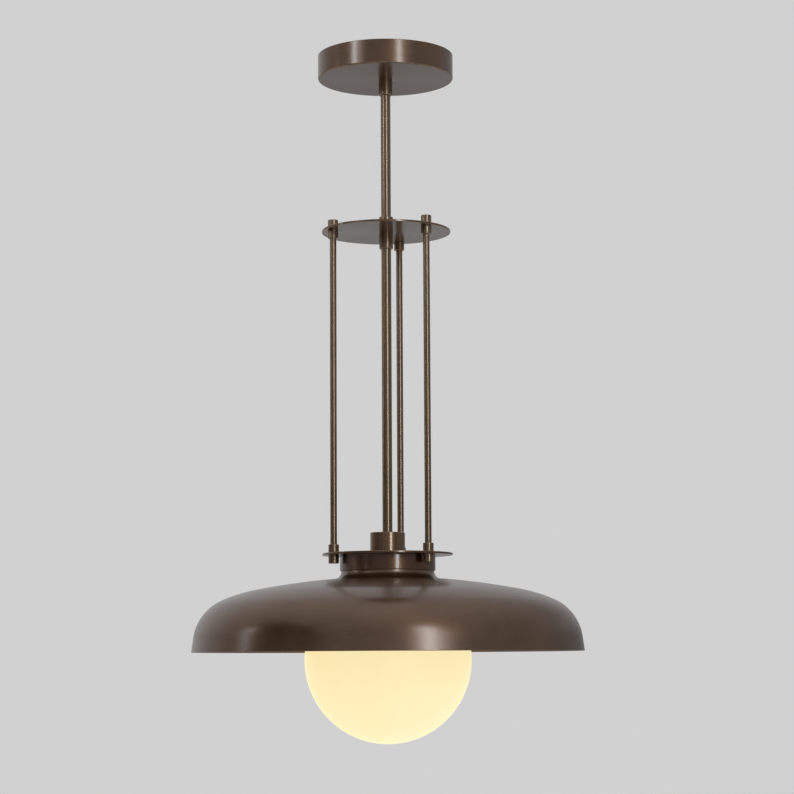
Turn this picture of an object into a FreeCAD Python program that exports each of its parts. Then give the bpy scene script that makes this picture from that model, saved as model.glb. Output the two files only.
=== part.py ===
import FreeCAD, Part
import Sketcher
import math
import os
import re

# Industrial dome pendant light.
# Millimetres and degrees. z = 0 is the ceiling, +z points up, -y points to the viewer.

# Driving sizes
SIZES = {
    # ceiling bracket, a bent strap with a dropped middle
    "bracket_length": 124,
    "bracket_width": 56,
    "bracket_pan_length": 52,
    "bracket_sheet": 2,
    "bracket_drop": 14,
    "bend_radius": 1,
    "tab_corner_radius": 8,
    "slot_spacing": 84,
    "slot_length": 24,
    "slot_width": 5.2,
    "cable_hole_diameter": 14,
    "cable_hole_offset": 18,
    # hollow threaded nipples, their nuts and washers
    "nipple_diameter": 10,
    "nipple_bore": 7,
    "nipple_grip": 12,
    "nipple_proud": 1,
    "nut_flats": 14,
    "nut_height": 5,
    "washer_diameter": 18,
    "washer_thickness": 1,
    "thread_gap": 0.05,
    # earth screw
    "earth_screw_diameter": 4,
    "earth_head_diameter": 8,
    "earth_head_height": 2.6,
    "earth_screw_proud": 1,
    "earth_washer_diameter": 9,
    "earth_offset": 15,
    # terminal block
    "block_pole_pitch": 10,
    "block_width": 16,
    "block_height": 9.5,
    "block_gap": 1.5,
    "block_corner_radius": 1.5,
    "terminal_screw_diameter": 4,
    "terminal_screw_height": 3,
    "terminal_screw_sink": 1,
    "terminal_row_spacing": 9,
    "wire_mouth_diameter": 3.6,
    "block_screw_diameter": 3,
    "block_screw_head": 5.5,
    "block_screw_head_height": 2,
    # canopy and its collar
    "ceiling_gap": 0.5,
    "canopy_diameter": 166,
    "canopy_height": 29.5,
    "canopy_wall": 1.5,
    "canopy_edge_radius": 1.8,
    "canopy_slide_gap": 0.3,
    "canopy_collar_length": 20,
    "set_screw_diameter": 4,
    "set_screw_recess": 0.5,
    # stem and couplers
    "stem_diameter": 12,
    "stem_wall": 1.5,
    "coupler_diameter": 17,
    "coupler_chamfer": 1.2,
    "upper_coupler_length": 17.5,
    "lower_coupler_length": 20,
    "fit_gap": 0.05,
    # plates and rods
    "upper_plate_drop": 219,
    "plate_thickness": 2.5,
    "plate_margin": 5.2,
    "plate_edge_radius": 0.5,
    "rod_circle": 134,
    "rod_angle": 76,
    "rod_diameter": 8,
    "rod_span": 391,
    "rod_cap_diameter": 12.6,
    "rod_cap_length": 10.2,
    "rod_cap_chamfer": 0.8,
    "stud_diameter": 5,
    "stud_grip": 7,
    "stud_relief": 1,
    # socket cup
    "cup_diameter": 42,
    "cup_height": 25,
    "cup_wall": 1.5,
    "cup_edge_radius": 0.8,
    # globe
    "globe_diameter": 200,
    "glass_wall": 3,
    "globe_neck_diameter": 95,
    "globe_neck_length": 27,
    "globe_fillet": 6,
    "globe_lip_overhang": 3,
    "globe_lip_height": 4,
    # gallery, gasket and springs that hold the globe
    "gallery_wall": 1.5,
    "gallery_depth": 28,
    "gallery_edge_radius": 1,
    "spring_room": 2.2,
    "spring_sheet": 0.5,
    "spring_width": 8,
    "spring_foot": 8,
    "spring_inset": 1,
    "spring_nose_drop": 6,
    "spring_nose_gap": 0.8,
    "spring_angle": 30,
    "rivet_diameter": 3.2,
    "rivet_head_diameter": 5.4,
    "rivet_head_height": 0.9,
    "gasket_thickness": 1.5,
    "gasket_inset": 1,
    "seat_gap": 0.2,
    # fitter ring and shade
    "ring_wall": 1.5,
    "ring_height": 18.8,
    "ring_edge_radius": 1.2,
    "sleeve_gap": 0.2,
    "shade_diameter": 470,
    "shade_wall": 1.4,
    "shade_flange": 9,
    "neck_fillet": 9.5,
    "crown_slope": 4.7,
    "haunch_slope": 11,
    "haunch_radius": 181.6,
    "shoulder_slope": 24,
    "shoulder_radius": 56.6,
    "skirt_taper": 8,
    "skirt_height": 17.5,
    # lampholder
    "holder_diameter": 39,
    "holder_wall": 2,
    "holder_cap_height": 22,
    "holder_boss_diameter": 18,
    "holder_boss_height": 7,
    "holder_thread": 10,
    "holder_shoulder_height": 8,
    "holder_shoulder_radius": 11,
    "holder_skirt_height": 28,
    "holder_chamfer": 1,
    "insert_height": 4.8,
    "shell_sheet": 0.5,
    "shell_length": 25,
    "shell_hole_diameter": 12,
    "shell_turn_gap": 0.35,
    "contact_diameter": 7,
    "contact_height": 2.2,
    "contact_gap": 0.3,
    "contact_rounding": 0.6,
    # bulb
    "bulb_diameter": 60,
    "bulb_length": 108,
    "bulb_glass_wall": 1,
    "bulb_fillet": 40,
    "bulb_cap_diameter": 26.1,
    "bulb_cap_sheet": 0.6,
    "bulb_cap_taper": 2,
    "bulb_cap_end": 26,
    "bulb_insulator_diameter": 23,
    "bulb_insulator_end": 5.6,
    "bulb_contact_diameter": 9,
    "bulb_contact_end": 1.6,
    # lead inside the stems
    "lead_diameter": 5,
    "lead_bend": 6,
    "lead_ceiling_gap": 0.5,
}

# Sizes and levels that follow from the driving ones. Levels are heights above the ceiling.
DERIVED = {
    "stem_radius": "stem_diameter / 2",
    "nipple_radius": "nipple_diameter / 2",
    "thread_hole": "nipple_radius + thread_gap",
    "nipple_socket": "nipple_grip + nipple_proud",
    "coupler_radius": "coupler_diameter / 2",
    "coupler_bore": "stem_radius + fit_gap",
    "pan_half": "bracket_pan_length / 2",
    "pan_bottom": "-(bracket_drop + bracket_sheet)",
    "stem_top": "pan_bottom - washer_thickness",
    "block_front": "washer_diameter / 2 + block_gap",
    "block_back": "block_front + block_width",
    "block_middle": "block_front + block_width / 2",
    "canopy_radius": "canopy_diameter / 2",
    "canopy_hole": "stem_radius + canopy_slide_gap",
    "canopy_bottom": "-(ceiling_gap + canopy_height)",
    "upper_plate_bottom": "-(upper_plate_drop + plate_thickness)",
    "lower_plate_top": "upper_plate_bottom - rod_span",
    "lower_plate_bottom": "lower_plate_top - plate_thickness",
    "plate_radius": "rod_circle / 2 + rod_cap_diameter / 2 + plate_margin",
    "rod_radius": "rod_diameter / 2",
    "rod_cap_radius": "rod_cap_diameter / 2",
    "stud_hole": "stud_diameter / 2 + thread_gap",
    "stud_socket": "stud_grip + stud_relief",
    "cup_radius": "cup_diameter / 2",
    "cup_top": "lower_plate_top + cup_height",
    "shade_top": "lower_plate_bottom - ring_wall",
    "gallery_top": "shade_top - shade_wall",
    "gallery_under": "gallery_top - gallery_wall",
    "gallery_nut_top": "gallery_under - washer_thickness",
    "holder_top": "gallery_nut_top - nut_height",
    "globe_top": "gallery_under - gasket_thickness - seat_gap",
    "globe_radius": "globe_diameter / 2",
    "globe_neck": "globe_neck_diameter / 2",
    "globe_lip": "globe_neck + globe_lip_overhang",
    "gallery_bore": "globe_lip + spring_room",
    "gallery_radius": "gallery_bore + gallery_wall",
    "neck_radius": "gallery_radius + sleeve_gap + shade_wall",
    "flange_bore": "neck_radius - shade_wall - shade_flange",
    "ring_bore": "neck_radius + sleeve_gap",
    "ring_radius": "ring_bore + ring_wall",
    "neck_end": "ring_wall - ring_height",
    "spring_back": "gallery_bore - seat_gap",
    "spring_front": "spring_back - spring_sheet",
    "spring_base": "gallery_top - gallery_depth + spring_inset",
    "spring_top": "globe_top - globe_lip_height - seat_gap",
    "holder_radius": "holder_diameter / 2",
    "holder_bore": "holder_radius - holder_wall",
    "insert_top": "insert_height - holder_cap_height",
    "bulb_cap_radius": "bulb_cap_diameter / 2",
    "shell_bore": "bulb_cap_radius + shell_turn_gap",
    "shell_radius": "shell_bore + shell_sheet",
    "shell_hole": "shell_hole_diameter / 2",
    "bulb_top": "holder_top - holder_cap_height - contact_height - contact_gap",
    "bulb_radius": "bulb_diameter / 2",
    "lead_radius": "lead_diameter / 2",
    "lead_foot": "holder_top + insert_top",
    "lead_rise": "-(lead_ceiling_gap + lead_radius + lead_bend)",
    "lead_end": "pan_bottom - block_height / 2",
}

ROD_NAMES = ("back", "left", "right")
ROD_COUNT = len(ROD_NAMES)
SPRING_COUNT = 3
POLE_COUNT = 3
HEX_SIDES = 6
FULL_TURN = 360

document = FreeCAD.newDocument("pendant_light")
pieces = []


# Spreadsheet and expressions
def fill_sheet():
    sheet = document.addObject("Spreadsheet::Sheet", "dims")
    for row, (name, size) in enumerate(SIZES.items(), start=1):
        sheet.set(f"A{row}", name)
        sheet.set(f"B{row}", str(size))
        sheet.setAlias(f"B{row}", name)
    document.recompute()
    return sheet


def bind(text):
    """The expression with every named size written as a cell of the sheet."""
    def replace(match):
        word = match.group(0)
        if word in SIZES:
            return "dims." + word
        if word in DERIVED:
            return "(" + bind(DERIVED[word]) + ")"
        return word
    return re.sub(r"[a-z][a-z_]*", replace, str(text))


def value(text):
    return float(dims.evalExpression(bind(text)))


# Sketch outlines
def spot(across, up, rounded=None, chamfer=None, arc=None, side=1):
    """A corner of an outline. An arc leaves the corner, with its centre left (1) or right (-1)."""
    return {"x": across, "y": up, "rounded": rounded, "chamfer": chamfer, "arc": arc, "side": side}


def heading(start, end):
    """Direction along the axis that a straight edge follows."""
    across = end[0] - start[0]
    up = end[1] - start[1]
    if abs(across) >= abs(up):
        return (math.copysign(1, across), 0)
    return (0, math.copysign(1, up))


def cut_corners(corners):
    """Replaces each rounded or chamfered corner between square edges by its two end points."""
    places = [(value(corner["x"]), value(corner["y"])) for corner in corners]
    outline = []
    for index, corner in enumerate(corners):
        size = corner["rounded"] or corner["chamfer"]
        if size is None:
            outline.append(corner)
            continue
        come = heading(places[index - 1], places[index])
        leave = heading(places[index], places[(index + 1) % len(places)])
        turn = come[0] * leave[1] - come[1] * leave[0]
        first = spot(f"{corner['x']} - {come[0]} * ({size})", f"{corner['y']} - {come[1]} * ({size})",
                     arc=corner["rounded"], side=turn)
        last = spot(f"{corner['x']} + {leave[0]} * ({size})", f"{corner['y']} + {leave[1]} * ({size})")
        outline += [first, last]
    return outline


def edge_curve(start, end, corner):
    if corner["arc"] is None:
        return Part.LineSegment(start, end)
    radius = value(corner["arc"])
    chord = end - start
    left = FreeCAD.Vector(-chord.y, chord.x, 0) / chord.Length
    rise = math.sqrt(max(radius ** 2 - chord.Length ** 2 / 4, 0))
    middle = (start + end) / 2 + left * corner["side"] * (rise - radius)
    return Part.Arc(start, middle, end)


def tie(sketch, constraint, text):
    number = sketch.addConstraint(constraint)
    sketch.setExpression(f"Constraints[{number}]", bind(text))


def tie_point(sketch, curve, end, across, up):
    tie(sketch, Sketcher.Constraint("DistanceX", -1, 1, curve, end, value(across)), across)
    tie(sketch, Sketcher.Constraint("DistanceY", -1, 1, curve, end, value(up)), up)


def draw(sketch, corners, closed=True):
    outline = cut_corners(corners) if closed else corners
    points = [FreeCAD.Vector(value(corner["x"]), value(corner["y"]), 0) for corner in outline]
    count = len(points) if closed else len(points) - 1
    ends = []
    for index in range(count):
        start = points[index]
        end = points[(index + 1) % len(points)]
        curve = sketch.addGeometry(edge_curve(start, end, outline[index]))
        first_gap = sketch.getPoint(curve, 1).distanceToPoint(start)
        last_gap = sketch.getPoint(curve, 2).distanceToPoint(start)
        forward = first_gap < last_gap
        ends.append((curve, 1, 2) if forward else (curve, 2, 1))
    for index, (curve, first, last) in enumerate(ends):
        tie_point(sketch, curve, first, outline[index]["x"], outline[index]["y"])
        if outline[index]["arc"] is not None:
            radius = outline[index]["arc"]
            tie(sketch, Sketcher.Constraint("Radius", curve, value(radius)), radius)
        if closed or index + 1 < count:
            follower = ends[(index + 1) % count]
            sketch.addConstraint(Sketcher.Constraint("Coincident", curve, last, follower[0], follower[1]))
    if not closed:
        tie_point(sketch, ends[-1][0], ends[-1][2], outline[-1]["x"], outline[-1]["y"])


def draw_circle(sketch, across, up, radius):
    centre = FreeCAD.Vector(value(across), value(up), 0)
    curve = sketch.addGeometry(Part.Circle(centre, FreeCAD.Vector(0, 0, 1), value(radius)))
    tie(sketch, Sketcher.Constraint("Radius", curve, value(radius)), radius)
    tie_point(sketch, curve, 3, across, up)


def draw_slot(sketch, across, up, length, width):
    """A slot along the first axis with round ends."""
    reach = f"({length} - {width}) / 2"
    radius = f"{width} / 2"
    size = value(radius)
    left = FreeCAD.Vector(value(f"{across} - {reach}"), value(up), 0)
    right = FreeCAD.Vector(value(f"{across} + {reach}"), value(up), 0)
    rise = FreeCAD.Vector(0, size, 0)
    bulge = FreeCAD.Vector(size, 0, 0)
    left_end = sketch.addGeometry(Part.Arc(left + rise, left - bulge, left - rise))
    bottom = sketch.addGeometry(Part.LineSegment(left - rise, right - rise))
    right_end = sketch.addGeometry(Part.Arc(right - rise, right + bulge, right + rise))
    top = sketch.addGeometry(Part.LineSegment(right + rise, left + rise))
    for first, second in ((left_end, bottom), (bottom, right_end), (right_end, top), (top, left_end)):
        sketch.addConstraint(Sketcher.Constraint("Tangent", first, 2, second, 1))
    sketch.addConstraint(Sketcher.Constraint("Equal", left_end, right_end))
    tie(sketch, Sketcher.Constraint("Radius", left_end, size), radius)
    tie_point(sketch, left_end, 3, f"{across} - {reach}", up)
    tie_point(sketch, right_end, 3, f"{across} + {reach}", up)


# Bodies and their features
def place(item, x="0", y="0", z="0", angle=None):
    item.setExpression("Placement.Base.x", bind(x))
    item.setExpression("Placement.Base.y", bind(y))
    item.setExpression("Placement.Base.z", bind(z))
    if angle is not None:
        item.setExpression("Placement.Rotation.Angle", bind(angle))


def new_body(label, **position):
    body = document.addObject("PartDesign::Body", label)
    body.Label = label
    place(body, **position)
    return body


def new_sketch(body, plane, level="0"):
    sketch = body.newObject("Sketcher::SketchObject", "outline")
    support = [feature for feature in body.Origin.OriginFeatures if feature.Role == plane]
    sketch.AttachmentSupport = [(support[0], "")]
    sketch.MapMode = "FlatFace"
    sketch.setExpression("AttachmentOffset.Base.z", bind(level))
    return sketch


def revolve(body, corners, axis="V_Axis"):
    sketch = new_sketch(body, "XZ_Plane")
    draw(sketch, corners)
    turn = body.newObject("PartDesign::Revolution", "turned")
    turn.Profile = sketch
    turn.ReferenceAxis = (sketch, [axis])
    turn.Angle = FULL_TURN


def pad(body, sketch, length, symmetric=False):
    feature = body.newObject("PartDesign::Pad", "pad")
    feature.Profile = sketch
    feature.SideType = "Symmetric" if symmetric else "One side"
    feature.setExpression("Length", bind(length))
    return feature


def pocket_through(body, sketch, symmetric=True):
    feature = body.newObject("PartDesign::Pocket", "pocket")
    feature.Profile = sketch
    feature.Type = "ThroughAll"
    feature.SideType = "Symmetric" if symmetric else "One side"
    return feature


def pattern_around(body, feature, sketch, axis, count):
    pattern = body.newObject("PartDesign::PolarPattern", "pattern")
    pattern.Originals = [feature]
    pattern.Axis = (sketch, [axis])
    pattern.Angle = FULL_TURN
    pattern.Occurrences = count
    body.Tip = pattern


def publish(item):
    pieces.append(item)
    return item


def turned(label, corners, **position):
    body = new_body(label, **position)
    revolve(body, corners)
    return body


def ring(label, bore, radius, bottom, top, **position):
    corners = [spot(bore, bottom), spot(radius, bottom), spot(radius, top), spot(bore, top)]
    return turned(label, corners, **position)


def group(label, members):
    """Equal fasteners that share one piece of the list as separate solids."""
    compound = document.addObject("Part::Compound", label)
    compound.Label = label
    compound.Links = members
    return publish(compound)


def hex_nut(label, z):
    blank = document.addObject("Part::Prism", label + "_blank")
    blank.Polygon = HEX_SIDES
    blank.setExpression("Circumradius", bind(f"nut_flats / 2 / cos({FULL_TURN / HEX_SIDES / 2})"))
    blank.setExpression("Height", bind("nut_height"))
    hole = document.addObject("Part::Cylinder", label + "_hole")
    hole.setExpression("Radius", bind("thread_hole"))
    hole.setExpression("Height", bind("nut_height"))
    nut = document.addObject("Part::Cut", label)
    nut.Label = label
    nut.Base = blank
    nut.Tool = hole
    place(nut, z=z)
    return publish(nut)


def washer(label, top):
    return publish(ring(label, "thread_hole", "washer_diameter / 2", "-washer_thickness", "0", z=top))


def nipple(label, top, bottom):
    return publish(ring(label, "nipple_bore / 2", "nipple_radius", f"{bottom} - ({top})", "0", z=top))


# Ceiling fixing
def ceiling_bracket():
    body = new_body("ceiling_bracket")
    half = "bracket_length / 2"
    inner = "(pan_half - bracket_sheet)"
    outer_bend = "bend_radius + bracket_sheet"
    sketch = new_sketch(body, "XZ_Plane")
    draw(sketch, [
        spot(f"-{half}", "0"),
        spot(f"-{half}", "-bracket_sheet"),
        spot("-pan_half", "-bracket_sheet", rounded="bend_radius"),
        spot("-pan_half", "pan_bottom", rounded=outer_bend),
        spot("pan_half", "pan_bottom", rounded=outer_bend),
        spot("pan_half", "-bracket_sheet", rounded="bend_radius"),
        spot(half, "-bracket_sheet"),
        spot(half, "0"),
        spot(inner, "0", rounded=outer_bend),
        spot(inner, "-bracket_drop", rounded="bend_radius"),
        spot(f"-{inner}", "-bracket_drop", rounded="bend_radius"),
        spot(f"-{inner}", "0", rounded=outer_bend),
    ])
    pad(body, sketch, "bracket_width", symmetric=True)
    openings = new_sketch(body, "XY_Plane")
    draw_slot(openings, "slot_spacing / 2", "0", "slot_length", "slot_width")
    draw_slot(openings, "-slot_spacing / 2", "0", "slot_length", "slot_width")
    draw_circle(openings, "0", "0", "thread_hole")
    draw_circle(openings, "0", "-cable_hole_offset", "cable_hole_diameter / 2")
    draw_circle(openings, "-earth_offset", "-cable_hole_offset", "earth_screw_diameter / 2 + thread_gap")
    draw_circle(openings, "block_pole_pitch / 2", "block_middle", "block_screw_diameter / 2 + thread_gap")
    strap = pocket_through(body, openings)
    document.recompute()
    corners = []
    for number, edge in enumerate(strap.Shape.Edges, start=1):
        box = edge.BoundBox
        upright = box.XLength < box.ZLength and box.YLength < box.ZLength
        if upright and abs(abs(box.XMin) - value(half)) < value("bracket_sheet"):
            corners.append(f"Edge{number}")
    fillet = body.newObject("PartDesign::Fillet", "tab_corners")
    fillet.Base = (strap, corners)
    fillet.setExpression("Radius", bind("tab_corner_radius"))
    publish(body)


def pan_head_screw(label, radius, head_radius, head_height, shank, **position):
    """Head below the seat at level 0, shank above it."""
    return turned(label, [
        spot("0", f"-({head_height})"),
        spot(head_radius, f"-({head_height})", rounded=f"({head_height}) / 2"),
        spot(head_radius, "0"),
        spot(radius, "0"),
        spot(radius, shank),
        spot("0", shank),
    ], **position)


def earth_terminal():
    spot_x = "-earth_offset"
    spot_y = "-cable_hole_offset"
    publish(ring("earth_washer", "earth_screw_diameter / 2 + thread_gap", "earth_washer_diameter / 2",
                 "-washer_thickness", "0", x=spot_x, y=spot_y, z="pan_bottom"))
    publish(pan_head_screw("earth_screw", "earth_screw_diameter / 2", "earth_head_diameter / 2",
                           "earth_head_height", "washer_thickness + bracket_sheet + earth_screw_proud",
                           x=spot_x, y=spot_y, z="pan_bottom - washer_thickness"))


def pole_places():
    """Position of each pole along the terminal block."""
    return [f"{index - (POLE_COUNT - 1) / 2} * block_pole_pitch" for index in range(POLE_COUNT)]


def terminal_block():
    body = new_body("terminal_block", y="block_middle", z="pan_bottom")
    half_length = f"{POLE_COUNT / 2} * block_pole_pitch"
    half_width = "block_width / 2"
    base = new_sketch(body, "XY_Plane", level="-block_height")
    draw(base, [
        spot(f"-{half_length}", f"-{half_width}", rounded="block_corner_radius"),
        spot(half_length, f"-{half_width}", rounded="block_corner_radius"),
        spot(half_length, half_width, rounded="block_corner_radius"),
        spot(f"-{half_length}", half_width, rounded="block_corner_radius"),
    ])
    pad(body, base, "block_height")
    wells = new_sketch(body, "XY_Plane", level="-block_height")
    for across in pole_places():
        for row in ("terminal_row_spacing / 2", "-terminal_row_spacing / 2"):
            draw_circle(wells, across, row, "terminal_screw_diameter / 2 + thread_gap")
    well = body.newObject("PartDesign::Pocket", "wells")
    well.Profile = wells
    well.Reversed = True
    well.setExpression("Length", bind("terminal_screw_height + terminal_screw_sink"))
    mouths = new_sketch(body, "XZ_Plane")
    for across in pole_places():
        draw_circle(mouths, across, "-block_height / 2", "wire_mouth_diameter / 2")
    pocket_through(body, mouths)
    hole = new_sketch(body, "XY_Plane")
    draw_circle(hole, "block_pole_pitch / 2", "0", "block_screw_diameter / 2 + thread_gap")
    pocket_through(body, hole)
    publish(body)
    screws = []
    for across in pole_places():
        for row in ("terminal_row_spacing / 2", "-terminal_row_spacing / 2"):
            screw = document.addObject("Part::Cylinder", "terminal_screw")
            screw.setExpression("Radius", bind("terminal_screw_diameter / 2"))
            screw.setExpression("Height", bind("terminal_screw_height"))
            place(screw, across, f"block_middle + {row}", "pan_bottom - block_height + terminal_screw_sink")
            screws.append(screw)
    group("terminal_screws", screws)
    publish(pan_head_screw("block_screw", "block_screw_diameter / 2", "block_screw_head / 2",
                           "block_screw_head_height", "block_height + bracket_sheet",
                           x="block_pole_pitch / 2", y="block_middle", z="pan_bottom - block_height"))


def ceiling_fixing():
    ceiling_bracket()
    nipple("bracket_nipple", "-bracket_drop + nut_height + nipple_proud", "stem_top - nipple_grip")
    hex_nut("bracket_nut", "-bracket_drop")
    washer("bracket_washer", "pan_bottom")
    earth_terminal()
    terminal_block()


# Canopy
def canopy():
    publish(turned("canopy", [
        spot("canopy_hole", "0"),
        spot("canopy_radius", "0", rounded="canopy_edge_radius"),
        spot("canopy_radius", "canopy_height"),
        spot("canopy_radius - canopy_wall", "canopy_height"),
        spot("canopy_radius - canopy_wall", "canopy_wall"),
        spot("canopy_hole", "canopy_wall"),
    ], z="canopy_bottom"))
    collar = turned("canopy_collar", [
        spot("coupler_bore", "-canopy_collar_length"),
        spot("coupler_radius", "-canopy_collar_length", chamfer="coupler_chamfer"),
        spot("coupler_radius", "0"),
        spot("coupler_bore", "0"),
    ], z="canopy_bottom")
    bore = new_sketch(collar, "XZ_Plane")
    draw_circle(bore, "0", "-canopy_collar_length / 2", "set_screw_diameter / 2 + thread_gap")
    pocket_through(collar, bore, symmetric=False)
    publish(collar)
    screw = new_body("collar_set_screw", z="canopy_bottom - canopy_collar_length / 2")
    face = new_sketch(screw, "XZ_Plane", level="set_screw_recess - coupler_radius")
    draw_circle(face, "0", "0", "set_screw_diameter / 2")
    pad(screw, face, "coupler_radius - set_screw_recess - coupler_bore")
    publish(screw)


# Stem
def stem_tube(label, top, bottom):
    end = f"{bottom} - ({top})"
    bore = "stem_radius - stem_wall"
    publish(turned(label, [
        spot("thread_hole", "0"),
        spot("thread_hole", "-nipple_socket"),
        spot(bore, "-nipple_socket"),
        spot(bore, f"{end} + nipple_socket"),
        spot("thread_hole", f"{end} + nipple_socket"),
        spot("thread_hole", end),
        spot("stem_radius", end),
        spot("stem_radius", "0"),
    ], z=top))


def coupler(label, length, level):
    """A sleeve over the stem's end, away from the plate when the length is positive."""
    publish(turned(label, [
        spot("coupler_bore", "0"),
        spot("coupler_radius", "0"),
        spot("coupler_radius", length, chamfer="coupler_chamfer"),
        spot("coupler_bore", length),
    ], z=level))


def stem():
    stem_tube("upper_stem", "stem_top", "-upper_plate_drop")
    coupler("upper_coupler", "upper_coupler_length", "-upper_plate_drop")
    nipple("plate_nipple", "nipple_grip - upper_plate_drop", "upper_plate_bottom - nipple_grip")
    coupler("lower_coupler", "-lower_coupler_length", "upper_plate_bottom")
    stem_tube("lower_stem", "upper_plate_bottom", "cup_top")


# Plates and rods
def plate(label, level):
    body = turned(label, [
        spot("thread_hole", "0"),
        spot("plate_radius", "0", rounded="plate_edge_radius"),
        spot("plate_radius", "plate_thickness", rounded="plate_edge_radius"),
        spot("thread_hole", "plate_thickness"),
    ], z=level)
    hole = new_sketch(body, "XY_Plane")
    draw_circle(hole, "rod_circle / 2 * cos(rod_angle)", "rod_circle / 2 * sin(rod_angle)", "stud_hole")
    feature = pocket_through(body, hole)
    pattern_around(body, feature, hole, "N_Axis", ROD_COUNT)
    publish(body)


def rod_place(index):
    angle = f"rod_angle + {FULL_TURN * index / ROD_COUNT}"
    return {"x": f"rod_circle / 2 * cos({angle})", "y": f"rod_circle / 2 * sin({angle})"}


def rod(index):
    publish(turned("rod_" + ROD_NAMES[index], [
        spot("0", "-stud_socket"),
        spot("stud_hole", "-stud_socket"),
        spot("stud_hole", "0"),
        spot("rod_radius", "0"),
        spot("rod_radius", "-rod_span"),
        spot("stud_hole", "-rod_span"),
        spot("stud_hole", "stud_socket - rod_span"),
        spot("0", "stud_socket - rod_span"),
    ], z="upper_plate_bottom", **rod_place(index)))


def rod_cap(label, index, level, way):
    """Closed cap on the outer side of a plate, upwards for way 1 and downwards for way -1."""
    publish(turned(label, [
        spot("stud_hole", "0"),
        spot("rod_cap_radius", "0"),
        spot("rod_cap_radius", f"{way} * rod_cap_length", chamfer="rod_cap_chamfer"),
        spot("0", f"{way} * rod_cap_length"),
        spot("0", f"{way} * stud_socket"),
        spot("stud_hole", f"{way} * stud_socket"),
    ], z=level, **rod_place(index)))


def rod_collar(label, index, level, way):
    """Open sleeve over the rod's end on the inner side of a plate."""
    publish(turned(label, [
        spot("rod_radius + fit_gap", "0"),
        spot("rod_cap_radius", "0"),
        spot("rod_cap_radius", f"{way} * rod_cap_length", chamfer="rod_cap_chamfer"),
        spot("rod_radius + fit_gap", f"{way} * rod_cap_length"),
    ], z=level, **rod_place(index)))


def rod_studs(label, level):
    studs = []
    for index in range(ROD_COUNT):
        stud = document.addObject("Part::Cylinder", "rod_stud")
        stud.setExpression("Radius", bind("stud_diameter / 2"))
        stud.setExpression("Height", bind("plate_thickness + 2 * stud_grip"))
        place(stud, z=f"{level} - stud_grip", **rod_place(index))
        studs.append(stud)
    group(label, studs)


def rods_and_plates():
    plate("upper_plate", "upper_plate_bottom")
    plate("lower_plate", "lower_plate_bottom")
    for index, name in enumerate(ROD_NAMES):
        rod(index)
        rod_cap("upper_rod_cap_" + name, index, "-upper_plate_drop", 1)
        rod_collar("upper_rod_collar_" + name, index, "upper_plate_bottom", -1)
        rod_collar("lower_rod_collar_" + name, index, "lower_plate_top", 1)
        rod_cap("lower_rod_cap_" + name, index, "lower_plate_bottom", -1)
    rod_studs("upper_rod_studs", "upper_plate_bottom")
    rod_studs("lower_rod_studs", "lower_plate_bottom")


# Socket cup and the pieces clamped under the lower plate
def clamped_stack():
    publish(turned("socket_cup", [
        spot("thread_hole", "cup_height"),
        spot("cup_radius", "cup_height", rounded="cup_edge_radius"),
        spot("cup_radius", "0"),
        spot("cup_radius - cup_wall", "0"),
        spot("cup_radius - cup_wall", "cup_height - cup_wall"),
        spot("thread_hole", "cup_height - cup_wall"),
    ], z="lower_plate_top"))
    hex_nut("cup_nut", "cup_top - cup_wall - nut_height")
    nipple("holder_nipple", "cup_top + nipple_grip", "holder_top - holder_thread")
    publish(turned("fitter_ring", [
        spot("thread_hole", "0"),
        spot("ring_radius", "0"),
        spot("ring_radius", "-ring_height", rounded="ring_edge_radius"),
        spot("ring_bore", "-ring_height"),
        spot("ring_bore", "-ring_wall"),
        spot("thread_hole", "-ring_wall"),
    ], z="lower_plate_bottom"))
    washer("gallery_washer", "gallery_under")
    hex_nut("gallery_nut", "gallery_nut_top - nut_height")


# Shade: neck, concave fillet, then three tangent arcs that steepen into a tapered skirt
def along_arc(point, radius, slope, next_slope):
    """End of an arc that leaves a point at one slope below level and ends at a steeper one."""
    across = f"{point[0]} + ({radius}) * (sin({next_slope}) - sin({slope}))"
    up = f"{point[1]} - ({radius}) * (cos({slope}) - cos({next_slope}))"
    return across, up


def inset(point, slope):
    """The point on the inner face below an outer point where the outline has this slope."""
    return f"{point[0]} - shade_wall * sin({slope})", f"{point[1]} - shade_wall * cos({slope})"


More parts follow.
